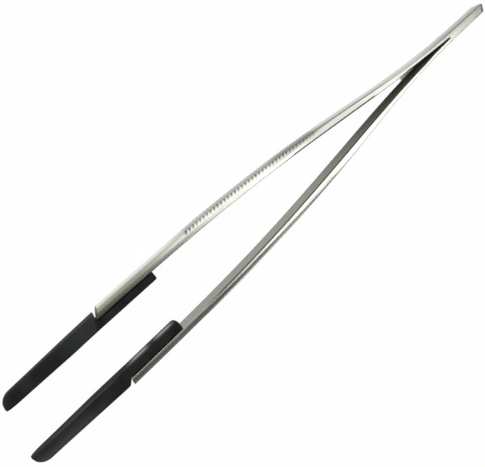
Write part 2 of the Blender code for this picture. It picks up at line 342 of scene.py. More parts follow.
def strip_rings(word):
    """Each outline point is set square to the bow: inner face + out * across-vector, then placed in the model.

    The inner corners grow from FLUSH_EDGE to INNER_EDGE where the weld ends and the strips open.
    """
    side, shift = SIDES[word]
    u = strip_stations(shift)
    opening = smooth(u + shift, OPENS_FROM, OPENS_TO)
    out, up = strip_outline(u, FLUSH_EDGE + (INNER_EDGE - FLUSH_EDGE) * opening)
    middle = thickness(u)[:, None] / 2
    cut = round_over(u - (STEEL_LENGTH - CUT_RADIUS), CUT_RADIUS)[:, None]
    out = middle + (out - middle) * (1.0 - cut / middle)
    butt = round_over(BUTT_RADIUS - BUTT_OVERRUN - shift - u, BUTT_RADIUS)[:, None]
    up = up * (1.0 - (cut + butt) / HALF_WIDTH)
    across_x, across_y = (part[:, None] for part in square_to_bow(u))
    x = u[:, None] + shift + out * across_x
    y = side * (bow(u)[:, None] + out * across_y)
    x = x + butt_lean(u[:, None] + shift, y)
    x = x + slit_slant(word, u - STEEL_LENGTH, out, up, CUT_BACK[word])
    return u, out, up, np.stack([x + BOW_START, y, up + HALF_WIDTH], axis=-1)


strips = {word: strip_rings(word) for word in SIDES}
print("rings on a strip:", {word: rings.shape[:2] for word, (u, out, up, rings) in strips.items()})

# %% [markdown]
# ## Where light and shade are painted on the steel
#
# Colour on the steel also stands in for light and shade. The outer side is painted darker at the heel and
# where the grip starts, and a painted dark line runs along its corner. The grooves get slanting wedges of
# painted shade. Beside the tips, painted shade in a brownish grey lies on the edges, the corners and the cut
# ends. The inner edges have a thin line of painted shade, with painted highlights in places, and the right
# strip's outer face has a painted highlight beside its tip. A picture wrapped round the strip could hold all
# this, but it would blur close up. So each mark is a mask with one value per point of the skin. It is a zone
# of the section times a curve along the strip, and a material can read it.

# %% Zones of the section
def on_corner(share):
    """Place on the outer corner: share 0 is its start at the edge, and share 1 is where the outer face starts."""
    return ROUND_STARTS + share * CORNER.size


TIP_SHADE_PLACES = on_corner(np.array([0.0, 0.30, 0.42, 0.55, 0.68, 0.85]))
TIP_SHADE_SHARES = np.array([0.85, 0.85, 1.0, 0.88, 0.35, 0.0])

INNER_CORNER = (PLACES >= CORNER_STARTS) & (PLACES < EDGE_STARTS)
BESIDE_TONGUE = 1.0 - smooth(PLACES, EDGE_STARTS, ROUND_STARTS + 4.0)
STRIP_EDGE = 1.0 - smooth(PLACES, on_corner(0.15), on_corner(0.50))
NEAR_CORNER = smooth(PLACES, ROUND_STARTS - 3.2, ROUND_STARTS + 0.3)
CORNER_START = smooth(PLACES, ROUND_STARTS - 1.0, ROUND_STARTS + 1.0)
CORNER_LINE = CORNER_START - smooth(PLACES, FACE_STARTS - 3.0, FACE_STARTS)
TIP_SHADE_CORNER = np.interp(PLACES, TIP_SHADE_PLACES, TIP_SHADE_SHARES)
FAR_CORNER = smooth(PLACES, on_corner(0.20), on_corner(0.50))
OUTER_SIDE = smooth(PLACES, ROUND_STARTS, on_corner(0.60))
HIGHLIGHT_FACE = smooth(PLACES, on_corner(0.45), FACE_STARTS)
OUTER_FACE = smooth(PLACES, on_corner(0.60), FACE_STARTS)
print("points on the inner corners:", INNER_CORNER.sum())


# %% Painted shade on the outer side
def changes(u, first, steps):
    """A column of values along a piece: first, plus each step's change, eased in from its start to its end."""
    value = np.full_like(u, first)
    for change, start, end in steps:
        value = value + change * smooth(u, start, end)
    return value[:, None]


# Painted shade on the outer side and the edge of each strip, darker towards the top.
SHADE_HEIGHTS = (-0.0050, 0.0042)
SHADE_SIDE = (1.0, [(-0.70, 0.022, 0.050), (0.65, 0.100, 0.108), (-0.90, 0.112, 0.145)])
SHADE_GRIP = {
    "left": (0.0, [(0.6, 0.096, 0.107), (-0.6, 0.110, 0.140)]),
    "right": (0.0, [(0.9, 0.096, 0.107), (-0.9, 0.110, 0.140)]),
}
SHADE_LINE = (0.0, [(0.8, 0.045, 0.080), (-0.8, 0.104, 0.112)])
SHADE_EDGE = {
    "left": (0.40, [(-0.22, -0.0025, 0.0035), (-0.18, 0.0075, 0.0255)]),
    "right": (0.40, [(-0.15, 0.002, 0.008), (0.20, 0.070, 0.090), (-0.45, 0.105, 0.125)]),
}


def dull_finish(word, u, up):
    """Share of painted shade, 0 to 1: the largest of four zones, each times its curve along the strip.

    Three of them grow with the height, so the upper part is darker: the outer side, the near corner where the
    grip starts, and the line along the corner up to the grip. The fourth is the edge of the strip, from the weld
    on.
    """
    side = np.maximum(OUTER_SIDE * changes(u, *SHADE_SIDE), NEAR_CORNER * changes(u, *SHADE_GRIP[word]))
    side = np.maximum(side, CORNER_LINE * changes(u, *SHADE_LINE))
    return np.maximum(smooth(up, *SHADE_HEIGHTS) * side, STRIP_EDGE * changes(u, *SHADE_EDGE[word]))


for word, (u, out, up, rings) in strips.items():
    print(word, "strip, mean share of dull finish:", round(dull_finish(word, u, up).mean(), 3))

# %% Painted shade in the grooves
# Painted shade in the grooves: dark slanting wedges in the colour.
GROOVE_SHADE_REACH = 0.0019
GROOVE_SHADE_SLANT = 0.8
GROOVE_SHADE_SOFTNESS = 0.4
GROOVE_SHADE_STRENGTH = {"left": 0.4, "right": 1.0}
BAND_FROM, BAND_FULL = 0.60, 0.95
BAND_EASE = 0.001
BAND_SHADE, BAND_COVER = 0.42, 0.55
FACE_SHADE_CUT = 0.45
ON_GRIP = (0.0, [(1.0, FIRST_GROOVE, FIRST_GROOVE + BAND_EASE), (-1.0, LAST_GROOVE - BAND_EASE, LAST_GROOVE)])


def groove_shade_share(word, u, out):
    """Share of painted shade in a groove: a slanting wedge, wide at the outer face, narrowing to nothing further
    in.

    Where the share of the way out is s, depths from 1 - s of the full groove on are shaded. Near the outer face
    the shade evens out to a band, and on the face itself it is lighter.
    """
    inward = thickness(u)[:, None] - out
    way_out = np.clip(1.0 - inward / GROOVE_SHADE_REACH, 0.0, 1.0)
    deep = groove(u[:, None] - GROOVE_SHADE_SLANT * inward) / GROOVE_DEPTH
    wedge = smooth(deep, 1.0 - way_out, 1.0 + GROOVE_SHADE_SOFTNESS - way_out)
    band = smooth(way_out, BAND_FROM, BAND_FULL) * changes(u, *ON_GRIP)
    groove_shade = wedge * (1.0 - BAND_COVER * band) + BAND_SHADE * band
    return GROOVE_SHADE_STRENGTH[word] * (1.0 - FACE_SHADE_CUT * OUTER_FACE) * groove_shade


for word, (u, out, up, rings) in strips.items():
    print(word, "strip, most dirt:", round(groove_shade_share(word, u, out).max(), 2))

# %% Painted shade beside the tips and painted highlights
# Painted shade in a brownish grey beside the tips and on the cut ends.
TIP_SHADE_ZONE = {"left": FAR_CORNER, "right": TIP_SHADE_CORNER}
TIP_SHADE_ALONG = {"left": (0.0, [(1.0, 0.168, 0.184)]), "right": (0.0, [(0.82, 0.172, 0.203)])}
TONGUE_SHADE = {"left": (0.0, []), "right": (0.0, [(0.30, 0.198, 0.217)])}
CUT_END_SHADE = (0.0, [(1.0, STEEL_LENGTH - CUT_RADIUS, STEEL_LENGTH)])
# Painted highlights: bright bands on the right strip's inner corner and on its outer face by the tip.
INNER_HIGHLIGHT = {
    "left": (0.0, []),
    "right": (0.0, [(0.35, 0.055, 0.060), (-0.35, 0.074, 0.086), (1.0, 0.116, 0.136), (-1.0, 0.156, 0.172)]),
}
FACE_HIGHLIGHT = {"left": (0.0, []), "right": (0.0, [(0.45, 0.172, 0.187)])}


def heat_tint(word, u):
    """Share of painted shade in a brownish grey beside the tip, 0 to 1.

    It lies on the right strip's edge and near corner, and on the left strip's far corner. The cut end has the
    full shade.
    """
    tint = TIP_SHADE_ZONE[word] * changes(u, *TIP_SHADE_ALONG[word]) + BESIDE_TONGUE * changes(u, *TONGUE_SHADE[word])
    return np.maximum(tint, changes(u, *CUT_END_SHADE))


def painted_highlight_share(word, u):
    """Share of painted highlight: on the inner corners and on the outer face, each times its curve along the
    strip.
    """
    return INNER_CORNER * changes(u, *INNER_HIGHLIGHT[word]) + HIGHLIGHT_FACE * changes(u, *FACE_HIGHLIGHT[word])


for word, (u, out, up, rings) in strips.items():
    print(word, "strip, most tint:", heat_tint(word, u).max(), "most wear:", painted_highlight_share(word, u).max())

# %% Painted shade on the inner corners and faces
# Painted shade: dark inner corners, the darker inside steel on the inner faces, and a dark right cut end.
SHADED_END = {"left": False, "right": True}
SHADED_END_SHARE = 0.9
CORNER_SHADE_FADE = {"left": (1.0, [(-1.0, 0.172, 0.186)]), "right": (1.0, [(-1.0, 0.114, 0.138)])}
CORNER_SHADE_COVER = {
    "left": (0.0, [(1.0, 0.026, 0.042), (-1.0, STEEL_LENGTH, STEEL_LENGTH + 0.01)]),
    "right": (0.0, [(1.0, 0.022, 0.034), (0.1, 0.036, 0.041), (-0.1, 0.050, 0.054), (-1.0, 0.053, 0.059),
                    (1.1, 0.066, 0.073), (-1.1, 0.116, 0.136)]),
}


def shaded_end_rows(word, u):
    """A column that tells which stations lie on a cut end that is painted as shaded."""
    return (SHADED_END[word] & (u > STEEL_LENGTH - SHADED_END_SHARE * CUT_RADIUS))[:, None]


def dark_burr(word, u):
    """Painted shade on the inner corners: 1, fading to 0 along the strip, and 1 on a shaded cut end."""
    return np.maximum(INNER_CORNER * changes(u, *CORNER_SHADE_FADE[word]), shaded_end_rows(word, u))


def inside_shade_faces(word, u):
    """True where the painted shade of the inside goes: the inner faces, part of the inner corners, a shaded cut
    end.
    """
    shift = SIDES[word][1]
    covered = changes(u[:-1] + shift, *CORNER_SHADE_COVER[word])
    dark_to = CORNER_STARTS + np.rint(CORNER.size * covered)
    return (np.maximum(PLACES, np.roll(PLACES, -1, axis=1)) < dark_to) | shaded_end_rows(word, u[1:])


for word, (u, out, up, rings) in strips.items():
    print(word, "strip, unground faces:", inside_shade_faces(word, u).sum())

# %% Build both arms
arms = {}
for word, (side, shift) in SIDES.items():
    u, out, up, rings = strips[word]
    # Apart from from_butt, these masks paint shade and highlights into the steel's colour.
    masks = {
        "from_butt": np.broadcast_to((u + shift)[:, None], out.shape),
        "groove": groove_shade_share(word, u, out),
        "burr": dark_burr(word, u),
        "dull": dull_finish(word, u, up),
        "tint": heat_tint(word, u),
        "worn": painted_highlight_share(word, u),
    }
    arms[word] = skin(f"{word}_strip", rings, u, masks, flip=side < 0,
                      finishes=inside_shade_faces(word, u), front_finish=SHADED_END[word])
    print(arms[word].name, rings.shape[0], "stations,", len(arms[word].data.polygons), "faces")

# %% [markdown]
# ## The weld
#
# At the heel the strips are welded and ground flush, so no seam shows until they part. A thin web between
# them stands for the weld metal. It follows both inner faces, and its front end is a small hollow fillet.

# %% Build the weld
WELD_STATIONS, WELD_POINTS = 24, 13
WELD_HOLLOW = 0.0008
WELD_INSET = 0.00001


def weld_rings():
    """A thin bar: its sides lie on the two inner faces, its ends are slanted like the butt and hollow in front.

    The hollow moves a front point back by WELD_HOLLOW times 1 - (height / half width)^2.
    """
    x = np.linspace(-BUTT_OVERRUN, WELD_END, WELD_STATIONS)
    left, right = bow(x - STAGGER), bow(x)
    heights = np.linspace(-1.0, 1.0, WELD_POINTS)
    up = np.concatenate([heights, heights[::-1]])[None, :] * (HALF_WIDTH - WELD_INSET)
    is_left = np.repeat([0.0, 1.0], WELD_POINTS)[None, :]
    y = is_left * left[:, None] - (1.0 - is_left) * right[:, None]
    butt = round_over(BUTT_RADIUS - BUTT_OVERRUN - x, BUTT_RADIUS)[:, None]
    up = up * (1.0 - butt / HALF_WIDTH)
    hollow = WELD_HOLLOW * (1.0 - (up / HALF_WIDTH) ** 2) * smooth(x, 0.0, WELD_END)[:, None]
    along = x[:, None] - hollow + butt_lean(x[:, None], y)
    return x, np.stack([along + BOW_START, y, up + HALF_WIDTH], axis=-1)


x, rings = weld_rings()
weld = skin("heel_weld", rings, x, {}, flip=False)
print(weld.name, "fills", f"{2 * bow(0.0) * MM:.1f} mm of seam")

# %% [markdown]
# ## The plastic tips
#
# A tip is one moulding. Its tongue lies inside the steel, and its nose carries on past the cut end with a
# step, so that the outside runs nearly level. The tongue's inner side is crowned, the nose is flatter, and
# the end is rounded from the outside only, so the inner faces meet right at the points when they close. Glints
# are painted onto the inner side and a grey sheen onto the noses, and both become masks again.

# %% Sizes of a tip
TONGUE_LENGTH = 0.0266
TONGUE_THICKNESS = 0.0037
TONGUE_CORNER = 0.0011
TIP_WIDTH = 0.0086
SEAT_GAP = 0.0003
SLIT = 0.0008
NOSE_RISE = 0.0024
NOSE_END_RISE = 0.0014
NOSE_END_WIDTH = 0.0068
NOSE_ROUND = 0.0052
END_EDGE = 0.0014
END_WIDTH = 0.0022
SHOULDER_RADIUS = 0.0011
NOSE_LENGTH = NOSE_END - STEEL_LENGTH
print(f"a tip is {(TONGUE_LENGTH + NOSE_LENGTH) * MM:.1f} mm long")

# %% Profile of a tip
TURN_ROWS, TONGUE_ROWS, NOSE_ROWS, POINT_ROWS = 10, 26, 40, 28
STEP_FOOT = 0.00002
CLOSING_REACH = [0.00008, 0.00014, 0.00016]
CLOSING_DRAW = [0.00006, 0.00018, 0.00032]


def tip_profile():
    """Rows of (along, outer face, half width, share of nose, draw-in), from the tongue's rear end to the point.

    Rear corner: quarter circle in the width. Shoulder: a straight step, then a quarter circle of
    SHOULDER_RADIUS. Nose: straight taper. End: quarter ellipse NOSE_ROUND long that draws in both the outer
    face and the width, then a small round-over.
    """
    half, seat = TIP_WIDTH / 2, -SEAT_GAP
    turn = np.linspace(0.0, math.pi / 2, TURN_ROWS)
    one = np.ones_like(turn)
    rear = [TONGUE_CORNER * (1 - np.cos(turn)) - TONGUE_LENGTH, seat * one,
            half - TONGUE_CORNER * (1 - np.sin(turn)), 0 * one, 0 * one]
    run = np.linspace(TONGUE_CORNER - TONGUE_LENGTH, SLIT - STEP_FOOT, TONGUE_ROWS)[1:]
    tongue = [run, seat + 0 * run, half + 0 * run, 0 * run, 0 * run]
    shoulder = [SLIT + SHOULDER_RADIUS * (1 - np.cos(turn)), NOSE_RISE - SHOULDER_RADIUS * (1 - np.sin(turn)),
                half * one, np.sin(turn), 0 * one]
    share = np.linspace(0.0, 1.0, NOSE_ROWS)[1:]
    start, straight_end = SLIT + SHOULDER_RADIUS, NOSE_LENGTH - NOSE_ROUND
    nose = [start + (straight_end - start) * share, NOSE_RISE + (NOSE_END_RISE - NOSE_RISE) * share,
            half + (NOSE_END_WIDTH / 2 - half) * smooth(share, 0.0, 1.0), 1 + 0 * share, 0 * share]
    bend = np.linspace(0.0, math.pi / 2, POINT_ROWS)[1:]
    low = END_EDGE - TONGUE_THICKNESS
    point = [straight_end + NOSE_ROUND * np.sin(bend), low + (NOSE_END_RISE - low) * np.cos(bend),
             (END_WIDTH + (NOSE_END_WIDTH - END_WIDTH) * np.cos(bend)) / 2, 1 + 0 * bend, 0 * bend]
    rows = np.concatenate([rear, tongue, shoulder, nose, point], axis=1)
    closing = np.repeat(rows[:, -1:], len(CLOSING_REACH), axis=1)
    closing[0] += CLOSING_REACH
    closing[4] = CLOSING_DRAW
    return np.concatenate([rows, closing], axis=1)


profile = tip_profile()
print("tip profile:", profile.shape[1], "rows")

# %% Outline of a tip
CROWN_FADES_FROM, CROWN_FADES_TO = -0.002, 0.016
TONGUE_ROUNDS = np.array([0.0009, 0.0030, 0.0004, 0.0004])
NOSE_ROUNDS = np.array([0.0007, 0.0013, 0.0016, 0.0022])
MOST_DEPTH, MOST_REACH = 0.49, 0.9


def tip_outline(along, outer, half, nose_share):
    """Distance out from the steel's inner face and height above mid-width, shaped (rows, points).

    Five runs as on the strip: inner face, inner corner, side, outer corner, outer face. Both corners are
    quarter ellipses, whose radii go from the tongue's to the nose's: slowly on the inner side, and at the
    shoulder on the outer side. They stay under MOST_DEPTH of the depth and MOST_REACH of the half width.
    """
    inner = -TONGUE_THICKNESS
    slow_share = smooth(along, CROWN_FADES_FROM, CROWN_FADES_TO)
    shares = np.stack([slow_share, slow_share, nose_share, nose_share], axis=1)
    rounds = TONGUE_ROUNDS + (NOSE_ROUNDS - TONGUE_ROUNDS) * shares
    deep, half, outer = (outer - inner)[:, None], half[:, None], outer[:, None]
    in_depth, out_depth = (np.minimum(rounds[:, [i]], MOST_DEPTH * deep) for i in (0, 2))
    in_reach, out_reach = (np.minimum(rounds[:, [i]], MOST_REACH * half) for i in (1, 3))
    half_out = [
        inner + 0.0 * deep * FACE_SHARES,
        inner + in_depth * (1.0 - np.cos(CORNER)),
        inner + in_depth + (deep - in_depth - out_depth) * EDGE_SHARES,
        outer - out_depth * (1.0 - np.sin(CORNER)),
        outer + 0.0 * FACE_SHARES,
    ]
    half_up = [
        (half - in_reach) * FACE_SHARES,
        half - in_reach * (1.0 - np.sin(CORNER)),
        half + 0.0 * EDGE_SHARES,
        half - out_reach * (1.0 - np.cos(CORNER)),
        (half - out_reach) * FACE_SHARES[:, ::-1],
    ]
    return whole_outline(np.concatenate(half_out, axis=1), np.concatenate(half_up, axis=1))


print(f"the tongue's crown reaches {TONGUE_ROUNDS[1] * MM:.1f} mm in from each side")

# %% Rings of a tip
STEP_BACK = {"left": 0.0011, "right": -0.00016}


def tip_rings(word):
    """The tip follows the chord of the last stretch of inner face: origin + along * chord + out * square to it."""
    side, shift = SIDES[word]
    along, outer, half, nose_share, draw_in = profile
    out, up = tip_outline(along, outer, half, nose_share)
    centre = ((outer - TONGUE_THICKNESS) / 2)[:, None]
    out = centre + (out - centre) * (1.0 - draw_in / (0.5 * (outer + TONGUE_THICKNESS)))[:, None]
    up = up * (1.0 - draw_in / half)[:, None]
    chord = np.array([TONGUE_LENGTH, bow(STEEL_LENGTH) - bow(STEEL_LENGTH - TONGUE_LENGTH)])
    chord = chord / np.linalg.norm(chord)
    along = along[:, None] + slit_slant(word, along, out, up, STEP_BACK[word])
    x = STEEL_LENGTH + along * chord[0] - out * chord[1]
    y = bow(STEEL_LENGTH) + along * chord[1] + out * chord[0]
    return out, up, np.stack([x + shift + BOW_START, side * y, up + HALF_WIDTH], axis=-1)


tip_shapes = {word: tip_rings(word) for word in SIDES}
print("rings on a tip:", {word: rings.shape[:2] for word, (out, up, rings) in tip_shapes.items()})

# %% Painted glints and sheen on the tips
# Painted glints along the inner side of each tip, carried by a clear coat.
GLINT_STRENGTH = {"left": 1.0, "right": 0.35}
GLINT_HEIGHT, GLINT_WIDTH = 0.0006, 0.0017
GLINT_BAND = (0.0, [(1.0, -0.0265, -0.0225), (-1.0, -0.0190, -0.0142),
                  (1.0, -0.0138, -0.0102), (-1.0, -0.0060, 0.0015)])
LINE_HEIGHT_SHARE, LINE_WIDTH = 0.70, 0.0003
GLINT_LINE = (0.0, [(0.25, 0.002, 0.010), (-0.25, 0.034, 0.038)])
# Painted sheen: the noses a lighter grey towards the point and the outer face.
SHEEN_ALONG = {"left": (0.0, [(1.0, 0.002, 0.036)]), "right": (0.0, [(0.35, -0.001, 0.0015), (-0.35, 0.003, 0.022)])}
SHEEN_INSIDE = {"left": 0.15, "right": 1.0}
SHEEN_OUTWARDS = (-0.0030, 0.0012)


def bell(value, middle, width):
    """exp(-((value - middle) / width)^2), which is 1 in the middle and small beyond two widths."""
    return np.exp(-(((value - middle) / width) ** 2))


def rubbed_bright(word, along, out, up):
    """Painted glints on the inner side: a bell curve in height times eased stretches along.

    A band lies near the middle of the tongue's width, in two stretches. A narrow painted highlight runs along
    the nose's inner corner, at LINE_HEIGHT_SHARE of the height.
    """
    inner_side = out < -0.5 * TONGUE_THICKNESS
    band = bell(up, GLINT_HEIGHT, GLINT_WIDTH) * changes(along, *GLINT_BAND)
    line_height = LINE_HEIGHT_SHARE * up.max(axis=1, keepdims=True)
    line = bell(up, line_height, LINE_WIDTH) * changes(along, *GLINT_LINE)
    return GLINT_STRENGTH[word] * inner_side * (band + line)


def scuffed_grey(word, along, out):
    """Share of grey painted sheen: on the left nose it grows to the point and the outer face, on the right it
    stays beside the slit. It goes from a smaller share on the inner face to 1 outwards, times a curve along the
    nose."""
    inside = SHEEN_INSIDE[word]
    return (inside + (1.0 - inside) * smooth(out, *SHEEN_OUTWARDS)) * changes(along, *SHEEN_ALONG[word])


for word, (out, up, rings) in tip_shapes.items():
    print(word, "tip, most scuffing:", round(scuffed_grey(word, profile[0], out).max(), 2))

# %% Build both tips
tips = {}
for word, (side, shift) in SIDES.items():
    out, up, rings = tip_shapes[word]
    along = profile[0]
    # Painted glints and a painted grey sheen for the plastic to read.
    masks = {"rubbed": rubbed_bright(word, along, out, up), "scuffed": scuffed_grey(word, along, out)}
    tips[word] = skin(f"{word}_moulding", rings, along, masks, flip=side < 0)
    print(tips[word].name, len(tips[word].data.polygons), "faces")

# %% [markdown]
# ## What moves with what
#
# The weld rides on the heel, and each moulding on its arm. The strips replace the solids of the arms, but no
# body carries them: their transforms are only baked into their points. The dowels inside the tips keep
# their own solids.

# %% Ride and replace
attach(weld, "heel")
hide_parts("heel")
for word in SIDES:
    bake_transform(arms[word])
    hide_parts(f"{word}_arm")
    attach(tips[word], f"{word}_arm")
    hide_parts(f"{word}_tip")
print("replaced:", sorted(n for n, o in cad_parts.items() if o.hide_render))

# %% [markdown]
# ## Shared effects
#
# Two effects turn up in more than one finish. Ground steel has fine lines along the strip, and every handled
# surface has soft cloudy marks. Each is a node group with named inputs, so a material only sets the numbers.
# A small class, Finish, then adds the other nodes of a material in few words.

# %% Node group helpers
def new_group(name, inputs, outputs):
    """An empty shader group with float sockets (or vector sockets for names that end in 'Map')."""
    group = bpy.data.node_groups.new(name, "ShaderNodeTree")
    for label, default in inputs.items():
        kind = "NodeSocketVector" if label.endswith("Map") else "NodeSocketFloat"
        socket = group.interface.new_socket(label, in_out="INPUT", socket_type=kind)
        if default is not None:
            socket.default_value = default
    for label in outputs:
        group.interface.new_socket(label, in_out="OUTPUT", socket_type="NodeSocketFloat")
    return group, group.nodes.new("NodeGroupInput"), group.nodes.new("NodeGroupOutput")


def times(group, first, second):
    """The product of an output and of another output or a number."""
    node = group.nodes.new("ShaderNodeMath")
    node.operation = "MULTIPLY"
    group.links.new(first, node.inputs[0])
    if isinstance(second, float):
        node.inputs[1].default_value = second
    else:
        group.links.new(second, node.inputs[1])
    return node.outputs[0]


print("groups so far:", len(bpy.data.node_groups))

# %% Brushed lines
LINE_NOISE = {"Lines": (1.0, 3.0), "Streaks": (0.16, 5.0)}


def brushed_lines():
    """Noise on a map that is stretched: few changes along the strip and many across it.

    LINE_NOISE gives each output its share of the changes across, and its detail.
    """
    inputs = {"Surface Map": None, "Lines per metre": 6000.0, "Streaks per metre": 30.0}
    group, given, result = new_group("brushed_lines", inputs, LINE_NOISE)
    split = group.nodes.new("ShaderNodeSeparateXYZ")
    group.links.new(given.outputs["Surface Map"], split.inputs[0])
    along = times(group, split.outputs["X"], given.outputs["Streaks per metre"])
    across = times(group, split.outputs["Y"], given.outputs["Lines per metre"])
    for label, (share, detail) in LINE_NOISE.items():
        join = group.nodes.new("ShaderNodeCombineXYZ")
        group.links.new(along, join.inputs["X"])
        group.links.new(times(group, across, share), join.inputs["Y"])
        noise = group.nodes.new("ShaderNodeTexNoise")
        noise.inputs["Scale"].default_value = 1.0
        noise.inputs["Detail"].default_value = detail
        group.links.new(join.outputs[0], noise.inputs["Vector"])
        group.links.new(noise.outputs["Fac"], result.inputs[label])
    return group


LINES = brushed_lines()
print("group:", LINES.name, len(LINES.nodes), "nodes")

# %% Handling marks
MARK_NOISE = {"Clouds": ("Clouds per metre", 4.0), "Grain": ("Grains per metre", 2.0)}


def handling_marks():
    """Two sizes of noise in object space: soft clouds, and a fine grain."""
    inputs = {"Place Map": None, "Clouds per metre": 90.0, "Grains per metre": 5000.0}
    group, given, result = new_group("handling_marks", inputs, MARK_NOISE)
    for label, (scale, detail) in MARK_NOISE.items():
        noise = group.nodes.new("ShaderNodeTexNoise")
        noise.inputs["Detail"].default_value = detail
        group.links.new(given.outputs["Place Map"], noise.inputs["Vector"])
        group.links.new(given.outputs[scale], noise.inputs["Scale"])
        group.links.new(noise.outputs["Fac"], result.inputs[label])
    return group


MARKS = handling_marks()
print("group:", MARKS.name, len(MARKS.nodes), "nodes")


# %% Material helper
class Finish:
    """A material with a Principled shader, and short ways to add the nodes that feed it."""

    def __init__(self, name, roughness, metallic, colour):
        self.material = bpy.data.materials.new(name)
        self.material.use_nodes = True
        self.tree = self.material.node_tree
        self.shader = self.tree.nodes["Principled BSDF"]
        self.shader.inputs["Roughness"].default_value = roughness
        self.shader.inputs["Metallic"].default_value = metallic
        self.shader.inputs["Base Color"].default_value = (*colour, 1.0)

    def add(self, kind, **values):
        node = self.tree.nodes.new(kind)
        for name, value in values.items():
            setattr(node, name, value)
        return node

    def link(self, start, end):
        self.tree.links.new(start, end)

    def group(self, group, map_output, **values):
        node = self.add("ShaderNodeGroup", node_tree=group)
        for label, value in values.items():
            node.inputs[label.replace("_", " ")].default_value = value
        self.link(map_output, node.inputs[0])
        return node

    def scaled(self, source, low, high, span=(0.0, 1.0)):
        """source over its span, moved to low..high in a straight line and held there."""
        node = self.add("ShaderNodeMapRange")
        for label, value in zip(("From Min", "From Max", "To Min", "To Max"), (*span, low, high)):
            node.inputs[label].default_value = value
        self.link(source, node.inputs["Value"])
        return node.outputs["Result"]

    def eased(self, source, start, end):
        """0 below start, 1 above end, with an eased step between them."""
        node = self.add("ShaderNodeMapRange", interpolation_type="SMOOTHSTEP")
        node.inputs["From Min"].default_value = start
        node.inputs["From Max"].default_value = end
        self.link(source, node.inputs["Value"])
        return node.outputs["Result"]

    def sum(self, *sources):
        total = sources[0]
        for source in sources[1:]:
            node = self.add("ShaderNodeMath", operation="ADD")
            self.link(total, node.inputs[0])
            self.link(source, node.inputs[1])
            total = node.outputs[0]
        return total

    def mix(self, share, first, second):
        """first where share is 0, second where it is 1; each is a colour or an output."""
        node = self.add("ShaderNodeMix", data_type="RGBA")
        self.link(share, node.inputs["Factor"])
        for value, socket in ((first, node.inputs[6]), (second, node.inputs[7])):
            if isinstance(value, tuple):
                socket.default_value = (*value, 1.0)
            else:
                self.link(value, socket)
        return node.outputs[2]

    def mask(self, name):
        return self.add("ShaderNodeAttribute", attribute_name=name).outputs["Fac"]

    def surface_map(self):
        return self.add("ShaderNodeUVMap", uv_map="surface").outputs["UV"]

    def place_map(self):
        return self.add("ShaderNodeTexCoord").outputs["Object"]


print("a finish can add:", [name for name in vars(Finish) if not name.startswith("_")])

# %% [markdown]
# ## Spring steel
#
# The strips are stainless steel, ground lengthwise and then tumbled. The lines show as faint streaks in
# colour and gloss. The masks on the skin then paint shade onto the outer side, beside the tips and into the
# grooves, and paint highlights onto the right strip. Soft clouds keep the painted shade in the grooves
# uneven. The painted shade beside the tips also dims the rim, so that glancing reflections are darker there.

# %% Spring steel
STEEL_COLOUR = (0.60, 0.605, 0.55)
DULL_STEEL = (0.42, 0.425, 0.375)
# Colours of painted shade in the grooves, on the outer side and beside the tips, and of painted highlights.
GROOVE_STEEL = (0.12, 0.12, 0.105)
SHADED_STEEL = (0.16, 0.162, 0.14)
TIP_SHADE_STEEL = (0.16, 0.163, 0.105)
HIGHLIGHT_STEEL = (0.95, 0.95, 0.91)
CLEAR_RIM, SHADED_RIM = (1.0, 1.0, 1.0), (0.12, 0.12, 0.10)
NOISE_SPAN, STREAK_SPAN = (0.3, 0.7), (0.4, 0.75)
BLOTCH_SPAN, PATCH_SPAN = (0.5, 0.8), (0.35, 0.65)
MATT_FRONT = (0.178, 0.205)


def spring_steel():
    """Streaks, clouds, painted shade, painted highlights and painted groove shade, each mixed over the one before.

    The roughness is a sum: fine lines, clouds, the grooves, and a little more beside the tips.
    """
    steel = Finish("spring_steel", roughness=0.24, metallic=1.0, colour=STEEL_COLOUR)
    lines = steel.group(LINES, steel.surface_map(), Lines_per_metre=2600.0, Streaks_per_metre=22.0)
    marks = steel.group(MARKS, steel.place_map(), Clouds_per_metre=120.0, Grains_per_metre=6000.0)
    streaks, clouds, groove_shade = lines.outputs["Streaks"], marks.outputs["Clouds"], steel.mask("groove")
    tone = steel.mix(steel.scaled(streaks, low=0.0, high=0.4, span=STREAK_SPAN), STEEL_COLOUR, DULL_STEEL)
    tone = steel.mix(steel.scaled(clouds, low=0.0, high=0.3, span=BLOTCH_SPAN), tone, DULL_STEEL)
    tone = steel.mix(steel.mask("dull"), tone, SHADED_STEEL)
    tone = steel.mix(steel.mask("tint"), tone, TIP_SHADE_STEEL)
    tone = steel.mix(steel.mask("worn"), tone, HIGHLIGHT_STEEL)
    patches = steel.scaled(clouds, low=0.55, high=1.0, span=PATCH_SPAN)
    shaded_groove = times(steel.tree, steel.scaled(groove_shade, low=0.0, high=0.95), patches)
    tone = steel.mix(shaded_groove, tone, GROOVE_STEEL)
    steel.link(tone, steel.shader.inputs["Base Color"])
    # The painted shade beside the tips also darkens the glancing reflections.
    rim = steel.mix(steel.mask("tint"), CLEAR_RIM, SHADED_RIM)
    steel.link(rim, steel.shader.inputs["Specular Tint"])
    gloss = steel.sum(
        steel.scaled(lines.outputs["Lines"], low=0.19, high=0.27, span=NOISE_SPAN),
        steel.scaled(clouds, low=-0.02, high=0.04, span=NOISE_SPAN),
        steel.scaled(groove_shade, low=0.0, high=0.15),
        steel.scaled(steel.mask("from_butt"), low=0.0, high=0.06, span=MATT_FRONT),
    )
    steel.link(gloss, steel.shader.inputs["Roughness"])
    return steel.material


steel_finish = spring_steel()
weld.data.materials.append(steel_finish)
print(steel_finish.name, "on", weld.name)

# %% [markdown]
# ## Inside of the strips
#
# The inner faces carry painted shade: they are painted darker than the outer steel, and nearly black next to
# the weld, where the strips stand close. That black is not metal, so the metallic value itself fades in with the
# distance from the heel.

